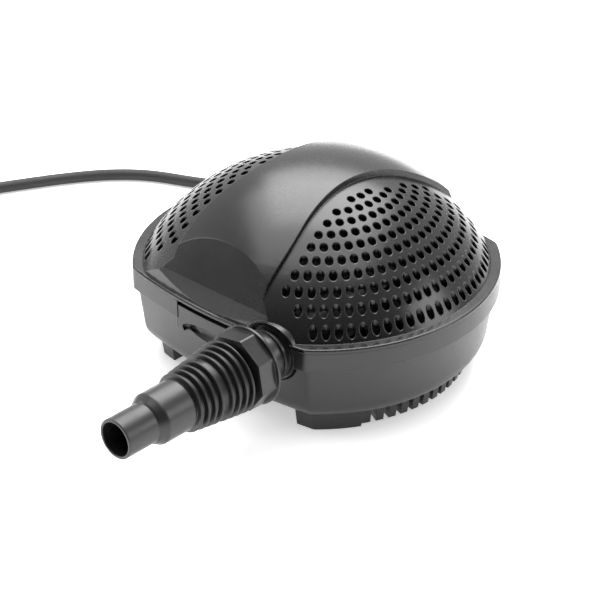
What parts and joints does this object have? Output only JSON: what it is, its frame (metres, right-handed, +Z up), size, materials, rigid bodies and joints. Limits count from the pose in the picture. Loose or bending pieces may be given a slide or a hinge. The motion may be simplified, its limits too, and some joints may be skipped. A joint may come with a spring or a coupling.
{
  "type": "fountain submersible pump",
  "caption": "Submersible fountain pump: domed strainer housing with perforated side fields, front latch, stepped ribbed hose adapter on a union nut, rubber mains cable with plug.",
  "frame": {"origin": "on the floor under the axis of the dome's round part", "axes": "+Z up, outlet and hose adapter towards -Y, the outlet is on the +X side of the middle"},
  "size_m": [0.7091, 0.3834, 0.134],
  "materials": {
    "housing_black": "semi-gloss black moulded plastic, fine grain",
    "base_black": "satin black moulded plastic",
    "adapter_black": "satin black moulded plastic with fine texture",
    "motor_black": "satin",
    "resin": "poured resin",
    "lamination": "stacked sheet",
    "copper": "enamelled copper winding",
    "ferrite": "sintered magnet",
    "shaft_ceramic": "polished ceramic",
    "rubber_black": "matte",
    "cable_rubber": "matte cable jacket",
    "steel": "stainless",
    "impeller_grey": "satin",
    "pin_metal": "nickel plated"
  },
  "bodies": {
    "base": {"lower_shell": "base_black", "hinge_pin_left": "steel", "hinge_pin_right": "steel", "motor_housing": "motor_black", "stator_core": "lamination", "stator_coil_front": "copper", "stator_coil_rear": "copper", "resin_plug": "resin", "motor_end_cap": "motor_black", "rotor_shaft": "shaft_ceramic", "shaft_seat_rear": "rubber_black", "shaft_seat_front": "rubber_black", "volute_housing": "motor_black", "volute_seal": "rubber_black", "volute_screw_1": "steel", "volute_screw_2": "steel", "volute_screw_3": "steel", "volute_screw_4": "steel", "mount_screw_1": "steel", "mount_screw_2": "steel", "motor_cradle_left": "rubber_black", "motor_cradle_right": "rubber_black", "outlet_gasket": "rubber_black", "cable_gland": "rubber_black", "cable_bush": "rubber_black", "power_cable": "cable_rubber", "power_cable_tail": "cable_rubber", "cable_hank": "cable_rubber", "plug_body": "rubber_black", "plug_pin_left": "pin_metal", "plug_pin_right": "pin_metal"},
    "lid": {"upper_shell": "housing_black"},
    "latch": {"front_latch": "base_black"},
    "rotor": {"rotor_magnet": "ferrite", "impeller": "impeller_grey"},
    "adapter": {"hose_adapter": "adapter_black"},
    "nut": {"union_nut": "adapter_black"}
  },
  "joints": [
    {"name": "lid_open", "type": "hinge", "parent": "base", "child": "lid", "pos_m": [0, 0.1035, 0.065], "axis": [-1, 0, 0], "range_deg": [0, 80]},
    {"name": "latch_pull", "type": "hinge", "parent": "base", "child": "latch", "pos_m": [0, -0.0957, 0.0595], "axis": [-1, 0, 0], "range_deg": [0, 14], "stiffness_Nm_per_rad": 0.05},
    {"name": "rotor_spin", "type": "hinge", "parent": "base", "child": "rotor", "pos_m": [0, 0.006, 0.046], "axis": [1, 0, 0], "continuous": true},
    {"name": "adapter_slide", "type": "slide", "parent": "base", "child": "adapter", "axis": [0, -1, 0], "range_m": [0, 0.006]},
    {"name": "nut_turn", "type": "hinge", "parent": "adapter", "child": "nut", "pos_m": [0.0478, -0.1175, 0.056], "axis": [0, -1, 0], "range_deg": [0, 720]}
  ],
  "couplings": [
    {"joint": "nut_turn", "follows": "adapter_slide", "rad_per_m": 2094.4}
  ]
}
